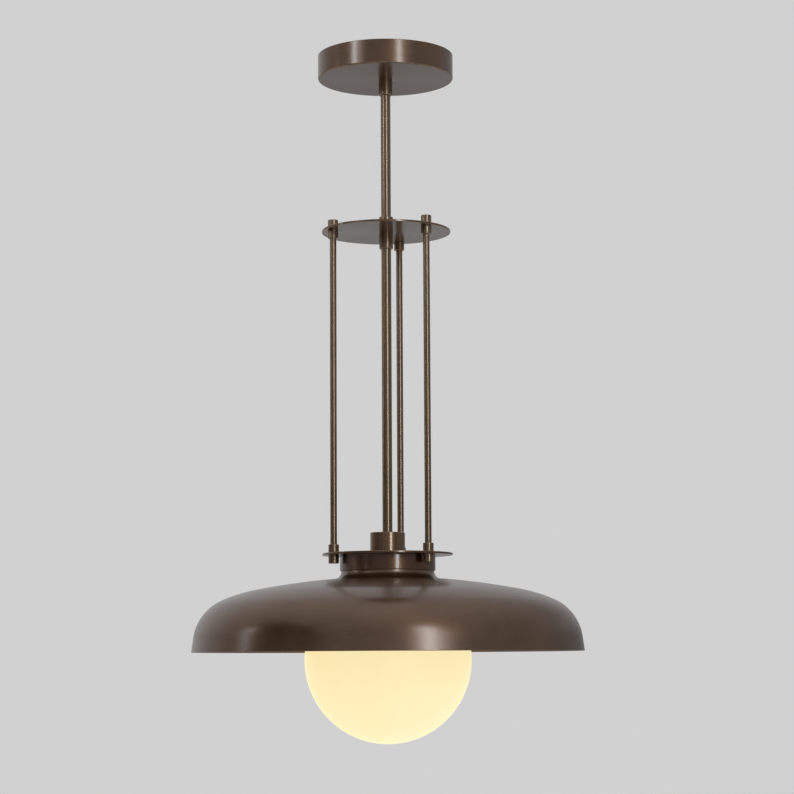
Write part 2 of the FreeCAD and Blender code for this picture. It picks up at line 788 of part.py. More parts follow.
def shade():
    skirt_slope = "90 - skirt_taper"
    rim = "shade_diameter / 2"
    skirt_run = "skirt_height * tan(skirt_taper)"
    crown_start = ("neck_radius + neck_fillet * (1 - sin(crown_slope))",
                   "neck_end - neck_fillet * cos(crown_slope)")
    haunch_run = "haunch_radius * (sin(shoulder_slope) - sin(haunch_slope))"
    shoulder_run = "shoulder_radius * (cos(skirt_taper) - sin(shoulder_slope))"
    crown_run = f"({rim} - ({crown_start[0]}) - {haunch_run} - {shoulder_run} - {skirt_run})"
    crown_radius = f"{crown_run} / (sin(haunch_slope) - sin(crown_slope))"
    haunch_start = along_arc(crown_start, crown_radius, "crown_slope", "haunch_slope")
    shoulder_start = along_arc(haunch_start, "haunch_radius", "haunch_slope", "shoulder_slope")
    skirt_start = along_arc(shoulder_start, "shoulder_radius", "shoulder_slope", skirt_slope)
    rim_level = f"{skirt_start[1]} - skirt_height"
    publish(turned("shade", [
        spot("flange_bore", "0"),
        spot("neck_radius", "0", rounded="shade_wall"),
        spot("neck_radius", "neck_end", arc="neck_fillet", side=1),
        spot(*crown_start, arc=crown_radius, side=-1),
        spot(*haunch_start, arc="haunch_radius", side=-1),
        spot(*shoulder_start, arc="shoulder_radius", side=-1),
        spot(*skirt_start),
        spot(rim, rim_level),
        spot(f"{rim} - shade_wall / cos(skirt_taper)", rim_level),
        spot(*inset(skirt_start, skirt_slope), arc="shoulder_radius - shade_wall", side=1),
        spot(*inset(shoulder_start, "shoulder_slope"), arc="haunch_radius - shade_wall", side=1),
        spot(*inset(haunch_start, "haunch_slope"), arc=f"{crown_radius} - shade_wall", side=1),
        spot(*inset(crown_start, "crown_slope"), arc="neck_fillet + shade_wall", side=-1),
        spot("neck_radius - shade_wall", "neck_end"),
        spot("neck_radius - shade_wall", "-shade_wall"),
        spot("flange_bore", "-shade_wall"),
    ], z="shade_top"))


# Gallery that holds the globe
def gallery():
    body = turned("gallery", [
        spot("thread_hole", "0"),
        spot("gallery_radius", "0", rounded="gallery_edge_radius"),
        spot("gallery_radius", "-gallery_depth"),
        spot("gallery_bore", "-gallery_depth"),
        spot("gallery_bore", "-gallery_wall"),
        spot("thread_hole", "-gallery_wall"),
    ], z="gallery_top", angle="spring_angle")
    hole = new_sketch(body, "YZ_Plane")
    draw_circle(hole, "0", "spring_base + spring_foot / 2 - gallery_top", "rivet_diameter / 2 + thread_gap")
    feature = pocket_through(body, hole, symmetric=False)
    feature.Reversed = True
    pattern_around(body, feature, hole, "V_Axis", SPRING_COUNT)
    publish(body)
    publish(ring("globe_gasket", "globe_neck - gasket_inset", "globe_lip", "-gasket_thickness", "0",
                 z="gallery_under"))


def globe_spring(angle):
    """A leaf that stands on the gallery's wall and bends in under the globe's lip."""
    body = new_body("globe_spring", z="spring_base", angle=angle)
    height = "(spring_top - spring_base)"
    nose = f"{height} - spring_nose_drop"
    nose_front = "globe_neck + spring_nose_gap"
    tip_front = "globe_lip"
    sketch = new_sketch(body, "XZ_Plane")
    draw(sketch, [
        spot("spring_front", "0"),
        spot("spring_back", "0"),
        spot("spring_back", "spring_foot"),
        spot(f"{nose_front} + spring_sheet", nose),
        spot(f"{tip_front} + spring_sheet", height),
        spot(tip_front, height),
        spot(nose_front, nose),
        spot("spring_front", "spring_foot"),
    ])
    pad(body, sketch, "spring_width", symmetric=True)
    hole = new_sketch(body, "YZ_Plane")
    draw_circle(hole, "0", "spring_foot / 2", "rivet_diameter / 2 + thread_gap")
    pocket_through(body, hole)
    return body


def spring_rivet(angle):
    body = new_body("spring_rivet", z="spring_base + spring_foot / 2", angle=angle)
    inner_end = "spring_front - rivet_head_height"
    outer_face = "gallery_radius"
    revolve(body, [
        spot(inner_end, "0"),
        spot(f"{outer_face} + rivet_head_height", "0"),
        spot(f"{outer_face} + rivet_head_height", "rivet_head_diameter / 2"),
        spot(outer_face, "rivet_head_diameter / 2"),
        spot(outer_face, "rivet_diameter / 2"),
        spot("spring_front", "rivet_diameter / 2"),
        spot("spring_front", "rivet_head_diameter / 2"),
        spot(inner_end, "rivet_head_diameter / 2", rounded="rivet_head_height / 2"),
    ], axis="H_Axis")
    return body


def globe_holding():
    angles = [f"spring_angle + {FULL_TURN * index / SPRING_COUNT}" for index in range(SPRING_COUNT)]
    gallery()
    group("globe_springs", [globe_spring(angle) for angle in angles])
    group("spring_rivets", [spring_rivet(angle) for angle in angles])


# Globe and bulb share one outline: a neck that runs by a concave fillet into a ball
def ball_outline(neck, fillet, ball, wall, neck_end):
    """Outer and inner corners from the neck's end to the bottom of the ball."""
    lift = f"sqrt(({ball} + {fillet})^2 - ({neck} + {fillet})^2)"
    centre = f"({neck_end} - {lift})"
    share = f"{ball} / ({ball} + {fillet})"
    inner_share = f"({ball} - {wall}) / ({ball} + {fillet})"
    outer = [
        spot(neck, neck_end, arc=fillet, side=1),
        spot(f"({neck} + {fillet}) * {share}", f"{centre} + {lift} * {share}", arc=ball, side=-1),
        spot("0", f"{centre} - {ball}"),
    ]
    inner = [
        spot("0", f"{centre} - {ball} + {wall}", arc=f"{ball} - {wall}", side=1),
        spot(f"({neck} + {fillet}) * {inner_share}", f"{centre} + {lift} * {inner_share}",
             arc=f"{fillet} + {wall}", side=-1),
        spot(f"{neck} - {wall}", neck_end),
    ]
    return outer + inner


def globe():
    lip = [
        spot("globe_neck - glass_wall", "0"),
        spot("globe_lip", "0"),
        spot("globe_lip", "-globe_lip_height"),
        spot("globe_neck", "-globe_lip_height"),
    ]
    ball = ball_outline("globe_neck", "globe_fillet", "globe_radius", "glass_wall", "-globe_neck_length")
    publish(turned("globe", lip + ball, z="globe_top"))


def bulb():
    publish(turned("bulb_contact", [
        spot("0", "0"),
        spot("bulb_contact_diameter / 2", "0", rounded="contact_rounding"),
        spot("bulb_contact_diameter / 2", "-bulb_contact_end"),
        spot("0", "-bulb_contact_end"),
    ], z="bulb_top"))
    publish(turned("bulb_insulator", [
        spot("0", "-bulb_contact_end"),
        spot("bulb_contact_diameter / 2", "-bulb_contact_end"),
        spot("bulb_insulator_diameter / 2", "-bulb_insulator_end"),
        spot("0", "-bulb_insulator_end"),
    ], z="bulb_top"))
    publish(turned("bulb_cap", [
        spot("0", "-bulb_insulator_end"),
        spot("bulb_insulator_diameter / 2", "-bulb_insulator_end"),
        spot("bulb_cap_radius", "-(bulb_insulator_end + bulb_cap_taper)"),
        spot("bulb_cap_radius", "-bulb_cap_end"),
        spot("bulb_cap_radius - bulb_cap_sheet", "-bulb_cap_end"),
        spot("bulb_cap_radius - bulb_cap_sheet", "-(bulb_insulator_end + bulb_cap_taper)"),
        spot("0", "-(bulb_insulator_end + bulb_cap_taper)"),
    ], z="bulb_top"))
    lift = "sqrt((bulb_radius + bulb_fillet)^2 - (bulb_cap_radius + bulb_fillet)^2)"
    neck_end = f"({lift} + bulb_radius - bulb_length)"
    top = [
        spot("bulb_cap_radius - bulb_glass_wall", "-bulb_cap_end"),
        spot("bulb_cap_radius", "-bulb_cap_end"),
    ]
    ball = ball_outline("bulb_cap_radius", "bulb_fillet", "bulb_radius", "bulb_glass_wall", neck_end)
    publish(turned("bulb_glass", top + ball, z="bulb_top"))


# Lampholder
def lampholder():
    shoulder_end = "-(holder_boss_height + holder_shoulder_height)"
    publish(turned("holder_cap", [
        spot("thread_hole", "0"),
        spot("holder_boss_diameter / 2", "0"),
        spot("holder_boss_diameter / 2", "-holder_boss_height", arc="holder_shoulder_radius", side=-1),
        spot("holder_radius", shoulder_end),
        spot("holder_radius", "-holder_cap_height"),
        spot("holder_bore", "-holder_cap_height"),
        spot("holder_bore", f"{shoulder_end} - holder_wall"),
        spot("holder_boss_diameter / 2 - holder_wall", "-holder_thread"),
        spot("thread_hole", "-holder_thread"),
    ], z="holder_top"))
    publish(ring("holder_insert", "0", "holder_bore - seat_gap", "-holder_cap_height", "insert_top",
                 z="holder_top"))
    skirt_end = "-(holder_cap_height + holder_skirt_height)"
    publish(turned("holder_skirt", [
        spot("shell_radius + fit_gap", "-holder_cap_height"),
        spot("shell_radius + fit_gap", skirt_end),
        spot("holder_radius", skirt_end, chamfer="holder_chamfer"),
        spot("holder_radius", "-holder_cap_height"),
    ], z="holder_top"))
    publish(turned("holder_shell", [
        spot("shell_hole", "-holder_cap_height"),
        spot("shell_radius", "-holder_cap_height"),
        spot("shell_radius", "-(holder_cap_height + shell_length)"),
        spot("shell_bore", "-(holder_cap_height + shell_length)"),
        spot("shell_bore", "-(holder_cap_height + shell_sheet)"),
        spot("shell_hole", "-(holder_cap_height + shell_sheet)"),
    ], z="holder_top"))
    publish(turned("holder_contact", [
        spot("0", "-holder_cap_height"),
        spot("contact_diameter / 2", "-holder_cap_height"),
        spot("contact_diameter / 2", "-(holder_cap_height + contact_height)", rounded="contact_rounding"),
        spot("0", "-(holder_cap_height + contact_height)"),
    ], z="holder_top"))


# Lead from the lampholder up the stems, over the bracket's edge and into the terminal block
def stem_lead():
    body = new_body("stem_lead", z="lead_foot")
    rise = "(lead_rise - lead_foot)"
    end = "(lead_end - lead_foot)"
    path = new_sketch(body, "YZ_Plane")
    draw(path, [
        spot("0", "0"),
        spot("0", rise, arc="lead_bend", side=-1),
        spot("lead_bend", f"{rise} + lead_bend"),
        spot("block_back", f"{rise} + lead_bend", arc="lead_bend", side=-1),
        spot("block_back + lead_bend", rise),
        spot("block_back + lead_bend", f"{end} + lead_bend", arc="lead_bend", side=-1),
        spot("block_back", end),
    ], closed=False)
    section = new_sketch(body, "XY_Plane")
    draw_circle(section, "0", "0", "lead_radius")
    pipe = body.newObject("PartDesign::AdditivePipe", "sheath")
    pipe.Profile = section
    pipe.Spine = path
    publish(body)


def build():
    ceiling_fixing()
    canopy()
    stem()
    rods_and_plates()
    clamped_stack()
    shade()
    globe_holding()
    lampholder()
    bulb()
    globe()
    stem_lead()
    document.recompute()


def write_pieces():
    os.makedirs("parts", exist_ok=True)
    for item in document.Objects:
        if "Invalid" in item.State or "Error" in item.State:
            raise RuntimeError(f"{item.Label} did not compute: {item.State}")
    for item in pieces:
        if item.Shape.isNull() or not item.Shape.isValid() or not item.Shape.Solids:
            raise RuntimeError(f"{item.Label} has no valid solid")
        item.Shape.exportStep(f"parts/{item.Label}.step")
    print(len(pieces), "pieces written")


dims = fill_sheet()
build()
write_pieces()
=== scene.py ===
"""Looks of the dome pendant light: turned bronze pieces, a lit opal globe and a pale grey studio."""

import math

import bpy
from mathutils import Euler, Matrix, Vector

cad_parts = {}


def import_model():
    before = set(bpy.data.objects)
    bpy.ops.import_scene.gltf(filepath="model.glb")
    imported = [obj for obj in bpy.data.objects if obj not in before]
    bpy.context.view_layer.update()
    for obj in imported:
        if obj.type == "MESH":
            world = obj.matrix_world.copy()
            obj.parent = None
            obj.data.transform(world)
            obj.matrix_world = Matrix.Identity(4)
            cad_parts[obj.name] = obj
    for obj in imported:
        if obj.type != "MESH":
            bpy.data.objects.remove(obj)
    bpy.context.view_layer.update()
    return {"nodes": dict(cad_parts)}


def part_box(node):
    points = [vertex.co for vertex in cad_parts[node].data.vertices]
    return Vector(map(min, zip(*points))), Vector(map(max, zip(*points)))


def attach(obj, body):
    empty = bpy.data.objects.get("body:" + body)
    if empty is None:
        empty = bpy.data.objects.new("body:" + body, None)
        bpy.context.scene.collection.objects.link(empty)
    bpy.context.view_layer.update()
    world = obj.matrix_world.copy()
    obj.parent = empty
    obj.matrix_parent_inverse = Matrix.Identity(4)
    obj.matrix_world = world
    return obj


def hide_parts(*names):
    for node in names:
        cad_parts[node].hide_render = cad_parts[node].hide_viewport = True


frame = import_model()
nodes = frame["nodes"]

MM = 0.001
IMAGE_SIZE = 794
ROUND_SEGMENTS = 192
SHADE_SEGMENTS = 288
HOLDER_SEGMENTS = 96
SMALL_SEGMENTS = 64
SCREW_SEGMENTS = 48
SHARP_ANGLE = math.radians(32)
TINY = 1e-7


# Outlines in millimetres as (radius, level, rounding), counterclockwise with the radius to the right
def rounded_outline(corners, steps=5):
    """Points of a closed outline with its corners rounded, each with a mark for edges that wear."""
    points = []
    count = len(corners)
    for index, (radius, level, rounding) in enumerate(corners):
        here = Vector((radius, level))
        if not rounding:
            points.append((here.x, here.y, 0.0))
            continue
        before = Vector(corners[index - 1][:2])
        after = Vector(corners[(index + 1) % count][:2])
        come = (here - before).normalized()
        leave = (after - here).normalized()
        turn = math.atan2(come.cross(leave), come.dot(leave))
        reach = rounding * math.tan(abs(turn) / 2)
        start = here - come * reach
        side = Vector((-come.y, come.x)) * math.copysign(1, turn)
        centre = start + side * rounding
        spoke = start - centre
        for step in range(steps + 1):
            share = step / steps
            arm = Vector((spoke.x, spoke.y))
            arm.rotate(Matrix.Rotation(turn * share, 2))
            worn = math.sin(math.pi * share) if turn > 0 else 0.0
            points.append((centre.x + arm.x, centre.y + arm.y, worn))
    return points


def arc_points(start, radius, first_slope, last_slope, steps):
    """Points after the start of an arc that leaves at one angle below level and ends at another."""
    points = []
    for step in range(1, steps + 1):
        slope = first_slope + (last_slope - first_slope) * step / steps
        across = radius * (math.sin(slope) - math.sin(first_slope))
        down = radius * (math.cos(first_slope) - math.cos(slope))
        points.append((start[0] + across, start[1] - down))
    return points


# Meshes
def finish_mesh(mesh):
    """Smooth faces with the sharp edges kept."""
    mesh.validate()
    for polygon in mesh.polygons:
        polygon.use_smooth = True
    mesh.set_sharp_from_angle(angle=SHARP_ANGLE)
    return mesh


def ring_points(radius, level, segments):
    """Points round the axis, in metres, or one point where the radius is nothing."""
    if radius < TINY:
        return [(0.0, 0.0, level * MM)]
    angles = [2 * math.pi * step / segments for step in range(segments)]
    return [(radius * math.cos(angle) * MM, radius * math.sin(angle) * MM, level * MM) for angle in angles]


def loft(name, rows, wear=None):
    """Joins rows of points into a closed skin; a row of one point stands for a pole on the axis."""
    vertices = []
    worn = []
    loops = []
    segments = max(len(row) for row in rows)
    for index, row in enumerate(rows):
        first = len(vertices)
        vertices.extend(row)
        worn.extend([wear[index] if wear else 0.0] * len(row))
        loops.append([first + step % len(row) for step in range(segments)])
    faces = []
    for index, lower in enumerate(loops):
        upper = loops[(index + 1) % len(loops)]
        if lower[0] == lower[1] and upper[0] == upper[1]:
            continue
        for step in range(segments):
            after = (step + 1) % segments
            ring = [lower[step], lower[after], upper[after], upper[step]]
            faces.append(list(dict.fromkeys(ring)))
    mesh = bpy.data.meshes.new(name)
    mesh.from_pydata(vertices, [], faces)
    attribute = mesh.attributes.new("wear", "FLOAT", "POINT")
    attribute.data.foreach_set("value", worn)
    return finish_mesh(mesh)


def lathe(name, outline, segments):
    """Turns a closed outline of (radius, level, wear) in millimetres about the local Z axis."""
    rows = [ring_points(radius, level, segments) for radius, level, _ in outline]
    return loft(name, rows, [worn for _, _, worn in outline])


def prism(name, corners, low, high):
    """A straight block over flat corners, in millimetres."""
    middle = [sum(values) / len(corners) for values in zip(*corners)]
    rows = [
        [(*middle, low)],
        [(x, y, low) for x, y in corners],
        [(x, y, high) for x, y in corners],
        [(*middle, high)],
    ]
    return loft(name, [[tuple(value * MM for value in point) for point in row] for row in rows])


def carved(mesh, cutter):
    """The mesh with the cutter's shape taken out of it for good."""
    scene = bpy.context.scene
    item = bpy.data.objects.new("whole", mesh)
    tool = bpy.data.objects.new("cutter", cutter)
    scene.collection.objects.link(item)
    scene.collection.objects.link(tool)
    modifier = item.modifiers.new("cut", "BOOLEAN")
    modifier.operation = "DIFFERENCE"
    modifier.solver = "EXACT"
    modifier.object = tool
    graph = bpy.context.evaluated_depsgraph_get()
    result = bpy.data.meshes.new_from_object(item.evaluated_get(graph))
    result.name = mesh.name
    bpy.data.objects.remove(item)
    bpy.data.objects.remove(tool)
    return finish_mesh(result)


def repeated(mesh, places):
    """One mesh that holds a copy of another at each place."""
    vertices = []
    faces = []
    for place in places:
        first = len(vertices)
        vertices += [vertex.co + Vector(place) for vertex in mesh.vertices]
        faces += [[first + index for index in polygon.vertices] for polygon in mesh.polygons]
    joined = bpy.data.meshes.new(mesh.name)
    joined.from_pydata(vertices, [], faces)
    return finish_mesh(joined)


def weigh_normals(item):
    modifier = item.modifiers.new("even_normals", "WEIGHTED_NORMAL")
    modifier.keep_sharp = True


def add_piece(name, mesh, place, body, material, slot, *replaced):
    item = bpy.data.objects.new(name, mesh)
    bpy.context.scene.collection.objects.link(item)
    item.location = place
    mesh.materials.append(material)
    weigh_normals(item)
    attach(item, body)
    if replaced:
        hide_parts(*replaced)
    return item


class Measure:
    """Radius, height and place of an upright round CAD node, in millimetres."""
    def __init__(self, node):
        low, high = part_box(node)
        self.radius = max(high.x - low.x, high.y - low.y) / 2 / MM
        self.height = (high.z - low.z) / MM
        self.foot = Vector(((low.x + high.x) / 2, (low.y + high.y) / 2, low.z))


def turned_piece(node, corners, body, material, slot, segments=ROUND_SEGMENTS, steps=5):
    """A lathe piece that stands for one CAD node, with its outline measured from the node's foot."""
    mesh = lathe(node + "_turned", rounded_outline(corners, steps), segments)
    return add_piece(node + "_turned", mesh, Measure(node).foot, body, material, slot, node)


# Node helpers for the materials
def new_material(name):
    material = bpy.data.materials.new(name)
    material.use_nodes = True
    return material, material.node_tree, material.node_tree.nodes["Principled BSDF"]


def add_node(tree, kind, inputs=None, **settings):
    node = tree.nodes.new("ShaderNode" + kind)
    for key, setting in settings.items():
        setattr(node, key, setting)
    for key, given in (inputs or {}).items():
        if isinstance(given, bpy.types.NodeSocket):
            tree.links.new(given, node.inputs[key])
        else:
            node.inputs[key].default_value = given
    return node


def math_node(tree, operation, first, second=0.0):
    return add_node(tree, "Math", {0: first, 1: second}, operation=operation).outputs[0]


def remap(tree, given, low, high, start=0.0, end=1.0):
    inputs = {"Value": given, "From Min": start, "From Max": end, "To Min": low, "To Max": high}
    return add_node(tree, "MapRange", inputs).outputs[0]


def mix_colour(tree, share, first, second, blend="MIX"):
    node = add_node(tree, "Mix", data_type="RGBA", blend_type=blend)
    for key, given in ((0, share), (6, first), (7, second)):
        if isinstance(given, bpy.types.NodeSocket):
            tree.links.new(given, node.inputs[key])
        else:
            node.inputs[key].default_value = given
    return node.outputs[2]


def noise(tree, vector, scale, detail=3.0, roughness=0.55):
    inputs = {"Vector": vector, "Scale": scale, "Detail": detail, "Roughness": roughness}
    return add_node(tree, "TexNoise", inputs).outputs[0]


def object_place(tree):
    return add_node(tree, "TexCoord").outputs["Object"]


def ring_grain(tree, turns, lines):
    """Fine lines round the axis with no seam: more turns make them shorter, more lines make them finer."""
    parts = add_node(tree, "SeparateXYZ", {0: object_place(tree)})
    flat = add_node(tree, "CombineXYZ", {0: parts.outputs[0], 1: parts.outputs[1]}).outputs[0]
    radius = add_node(tree, "VectorMath", {0: flat}, operation="LENGTH").outputs["Value"]
    unit = add_node(tree, "VectorMath", {0: flat}, operation="NORMALIZE").outputs[0]
    aim = add_node(tree, "SeparateXYZ", {0: unit})
    inputs = {
        0: math_node(tree, "MULTIPLY", aim.outputs[0], turns),
        1: math_node(tree, "MULTIPLY", aim.outputs[1], turns),
        2: math_node(tree, "MULTIPLY", radius, lines),
    }
    vector = add_node(tree, "CombineXYZ", inputs).outputs[0]
    level = math_node(tree, "MULTIPLY", parts.outputs[2], lines)
    settings = {"Vector": vector, "W": level, "Scale": 1.0, "Detail": 2.5, "Roughness": 0.6}
    return add_node(tree, "TexNoise", settings, noise_dimensions="4D").outputs[0]


def length_grain(tree, lines, stretch):
    """Fine lines that run up and down."""
    scale = (lines, lines, lines / stretch)
    vector = add_node(tree, "VectorMath", {0: object_place(tree), 1: scale}, operation="MULTIPLY").outputs[0]
    return noise(tree, vector, 1.0, 2.5, 0.6)


def bump(tree, height, strength, distance):
    inputs = {"Height": height, "Strength": strength, "Distance": distance}
    return add_node(tree, "Bump", inputs).outputs[0]


def wear_mark(tree, reach):
    """Where rounded edges have lost some of their patina."""
    worn = add_node(tree, "Attribute", attribute_name="wear").outputs["Fac"]
    patch = remap(tree, noise(tree, object_place(tree), 130.0), 0.25, 1.0, 0.35, 0.65)
    return math_node(tree, "MULTIPLY", math_node(tree, "MULTIPLY", worn, patch), reach)


def brush_round(tree, shader, strength):
    """Lines of brushing that run round the axis, so that lights are drawn out across them."""
    tangent = add_node(tree, "Tangent", direction_type="RADIAL", axis="Z").outputs[0]
    tree.links.new(tangent, shader.inputs["Tangent"])
    shader.inputs["Anisotropic"].default_value = strength
    shader.inputs["Anisotropic Rotation"].default_value = 0.25


def metal(name, dark, light, worn, roughness, grain, brushing, lacquer_roughness, worn_reach):
    """Patinated metal under clear lacquer: cloudy colour, fine lines of brushing and brighter edges."""
    material, tree, shader = new_material(name)
    place = object_place(tree)
    cloud = remap(tree, noise(tree, place, 22.0, 4.0), 0.0, 1.0, 0.36, 0.64)
    lines = grain(tree)
    colour = mix_colour(tree, cloud, dark, light)
    tone = remap(tree, lines, 0.91, 1.09, 0.3, 0.7)
    shade = add_node(tree, "CombineColor", {0: tone, 1: tone, 2: tone}).outputs[0]
    colour = mix_colour(tree, 1.0, colour, shade, "MULTIPLY")
    colour = mix_colour(tree, wear_mark(tree, worn_reach), colour, worn)
    tree.links.new(colour, shader.inputs["Base Color"])
    rough = math_node(tree, "ADD", remap(tree, lines, -0.02, 0.02, 0.3, 0.7), roughness)
    rough = math_node(tree, "ADD", rough, remap(tree, cloud, -0.02, 0.02))
    tree.links.new(rough, shader.inputs["Roughness"])
    tree.links.new(bump(tree, lines, 0.07, 0.00005), shader.inputs["Normal"])
    shader.inputs["Metallic"].default_value = 0.85
    shader.inputs["Specular Tint"].default_value = (0.72, 0.77, 0.80, 1)
    shader.inputs["Coat Weight"].default_value = 0.55
    shader.inputs["Coat Roughness"].default_value = lacquer_roughness
    shader.inputs["Coat IOR"].default_value = 2.0
    brush_round(tree, shader, brushing)
    return material


def plain_metal(name, colour, roughness, lines, stretch=14.0):
    """Bright unlacquered metal with rolling or turning marks."""
    material, tree, shader = new_material(name)
    streak = length_grain(tree, lines, stretch)
    cloud = noise(tree, object_place(tree), 90.0)
    dull = [channel * 0.72 for channel in colour[:3]] + [1.0]
    tint = mix_colour(tree, remap(tree, streak, 0.0, 1.0, 0.3, 0.7), dull, colour)
    tint = mix_colour(tree, remap(tree, cloud, 0.0, 0.25, 0.45, 0.7), tint, dull)
    tree.links.new(tint, shader.inputs["Base Color"])
    tree.links.new(remap(tree, streak, roughness - 0.06, roughness + 0.08), shader.inputs["Roughness"])
    tree.links.new(bump(tree, streak, 0.12, 0.0001), shader.inputs["Normal"])
    shader.inputs["Metallic"].default_value = 1.0
    return material


def moulded(name, colour, roughness, grain_size, bump_depth, coat=0.0):
    """Plastic, rubber or glazed porcelain with a fine surface and slightly uneven colour."""
    material, tree, shader = new_material(name)
    place = object_place(tree)
    fine = noise(tree, place, 1.0 / grain_size, 2.0)
    cloud = noise(tree, place, 45.0)
    dull = [channel * 0.86 for channel in colour[:3]] + [1.0]
    tint = mix_colour(tree, remap(tree, cloud, 0.0, 1.0, 0.35, 0.7), colour, dull)
    tree.links.new(tint, shader.inputs["Base Color"])
    rough = remap(tree, fine, roughness - 0.05, roughness + 0.06, 0.3, 0.7)
    tree.links.new(rough, shader.inputs["Roughness"])
    tree.links.new(bump(tree, fine, 0.2, bump_depth), shader.inputs["Normal"])
    shader.inputs["Coat Weight"].default_value = coat
    shader.inputs["Coat Roughness"].default_value = 0.08
    return material


def opal_glass(name, bright, warm, body_colour, aim, reach):
    """Glass that glows by emission, lighter towards the aim and warmer away from it: on the globe the glow is
    painted in place of the bulb's light shining through the opal glass, and the lighter and warmer sides are
    painted shading.
    """
    material, tree, shader = new_material(name)
    place = object_place(tree)
    towards = add_node(tree, "VectorMath", {0: place, 1: aim}, operation="DOT_PRODUCT").outputs["Value"]
    cloud = remap(tree, noise(tree, place, 14.0, 2.0), -0.12, 0.12, 0.3, 0.7)
    # painted shading of the glow: lighter towards the aim, warmer away from it
    share = math_node(tree, "ADD", remap(tree, towards, 0.0, 1.0, -reach, reach), cloud)
    tree.links.new(mix_colour(tree, share, warm, bright), shader.inputs["Emission Color"])
    body = remap(tree, noise(tree, place, 60.0), 0.92, 1.0)
    tone = add_node(tree, "CombineColor", {0: body, 1: body, 2: body}).outputs[0]
    tree.links.new(mix_colour(tree, 1.0, body_colour, tone, "MULTIPLY"), shader.inputs["Base Color"])
    fine = noise(tree, place, 900.0, 2.0)
    tree.links.new(remap(tree, fine, 0.30, 0.38), shader.inputs["Roughness"])
    tree.links.new(bump(tree, fine, 0.05, 0.0001), shader.inputs["Normal"])
    shader.inputs["Emission Strength"].default_value = 1.0
    return material


PATINA_DARK = (0.124, 0.057, 0.022, 1)
PATINA_LIGHT = (0.154, 0.074, 0.031, 1)
PATINA_WORN = (0.42, 0.26, 0.13, 1)


def spun_grain(tree):
    return ring_grain(tree, 9.0, 1500.0)


SHADE_BRONZE = metal(
    "shade_bronze", PATINA_DARK, PATINA_LIGHT, PATINA_WORN,
    roughness=0.38, grain=spun_grain, brushing=0.5, lacquer_roughness=0.23,
    worn_reach=0.7)
DARK_BRONZE = metal(
    "dark_bronze", PATINA_DARK, PATINA_LIGHT, PATINA_WORN,
    roughness=0.38, grain=spun_grain, brushing=0.5, lacquer_roughness=0.20,
    worn_reach=0.7)
TURNED_BRONZE = metal(
    "turned_bronze", PATINA_DARK, PATINA_LIGHT, (0.50, 0.33, 0.15, 1),
    roughness=0.36, grain=spun_grain, brushing=0.5, lacquer_roughness=0.15,
    worn_reach=0.75)
WARM_BRONZE = metal(
    "warm_bronze", (0.164, 0.093, 0.043, 1), (0.213, 0.124, 0.060, 1), (0.46, 0.33, 0.20, 1),
    roughness=0.30, grain=lambda tree: length_grain(tree, 900.0, 60.0), brushing=0.2, lacquer_roughness=0.15,
    worn_reach=0.6)
CUP_BRONZE = metal(
    "cup_bronze", (0.182, 0.100, 0.045, 1), (0.240, 0.136, 0.065, 1), (0.48, 0.34, 0.20, 1),
    roughness=0.30, grain=lambda tree: ring_grain(tree, 6.0, 1500.0), brushing=0.5, lacquer_roughness=0.15,
    worn_reach=0.6)
ZINC = plain_metal("zinc_plate", (0.60, 0.60, 0.58, 1), 0.34, 900.0)
SPRING_STEEL = plain_metal("spring_steel", (0.48, 0.48, 0.49, 1), 0.24, 1500.0)
BLACK_STEEL = plain_metal("black_steel", (0.045, 0.045, 0.047, 1), 0.42, 1500.0)
BRASS = plain_metal("turned_brass", (0.72, 0.53, 0.25, 1), 0.24, 1800.0, 0.2)
NICKEL = plain_metal("nickel_plate", (0.66, 0.65, 0.62, 1), 0.25, 1500.0, 0.2)
PLASTIC = moulded("terminal_plastic", (0.80, 0.79, 0.74, 1), 0.48, 0.0009, 0.0001)
RUBBER = moulded("silicone", (0.62, 0.61, 0.57, 1), 0.60, 0.0006, 0.0001)
PORCELAIN = moulded("porcelain", (0.80, 0.78, 0.73, 1), 0.22, 0.004, 0.0001, coat=0.6)
BLACK_CERAMIC = moulded("black_insulator", (0.03, 0.03, 0.034, 1), 0.2, 0.002, 0.0001, coat=0.4)
SHEATH = moulded("lead_sheath", (0.74, 0.73, 0.70, 1), 0.5, 0.0012, 0.0001)
# painted glow: the globe emits in place of the hidden bulb's light shining through its opal glass
OPAL = opal_glass(
    "opal_glass", (0.93, 0.83, 0.50, 1), (0.90, 0.745, 0.40, 1), (0.20, 0.17, 0.12, 1), (3.5, 0.0, -4.5), 1.0)
FROST = opal_glass(
    "bulb_frost", (0.95, 0.86, 0.62, 1), (0.90, 0.74, 0.42, 1), (0.35, 0.33, 0.28, 1), (0.0, 0.0, -20.0), 0.6)


# Nuts, screws and threads
FIT_GAP = 0.05
THREAD = Measure("bracket_nipple").radius
THREAD_HOLE = THREAD + FIT_GAP
THREAD_PITCH = 1.0
THREAD_DEPTH = 0.6
NIPPLE_WALL = 1.5


def hexagon(flats):
    """Corners of a hexagon by the distance from its middle to its sides."""
    reach = flats / math.cos(math.pi / 6)
    angles = [math.pi / 3 * side for side in range(6)]
    return [(reach * math.cos(angle), reach * math.sin(angle)) for angle in angles]


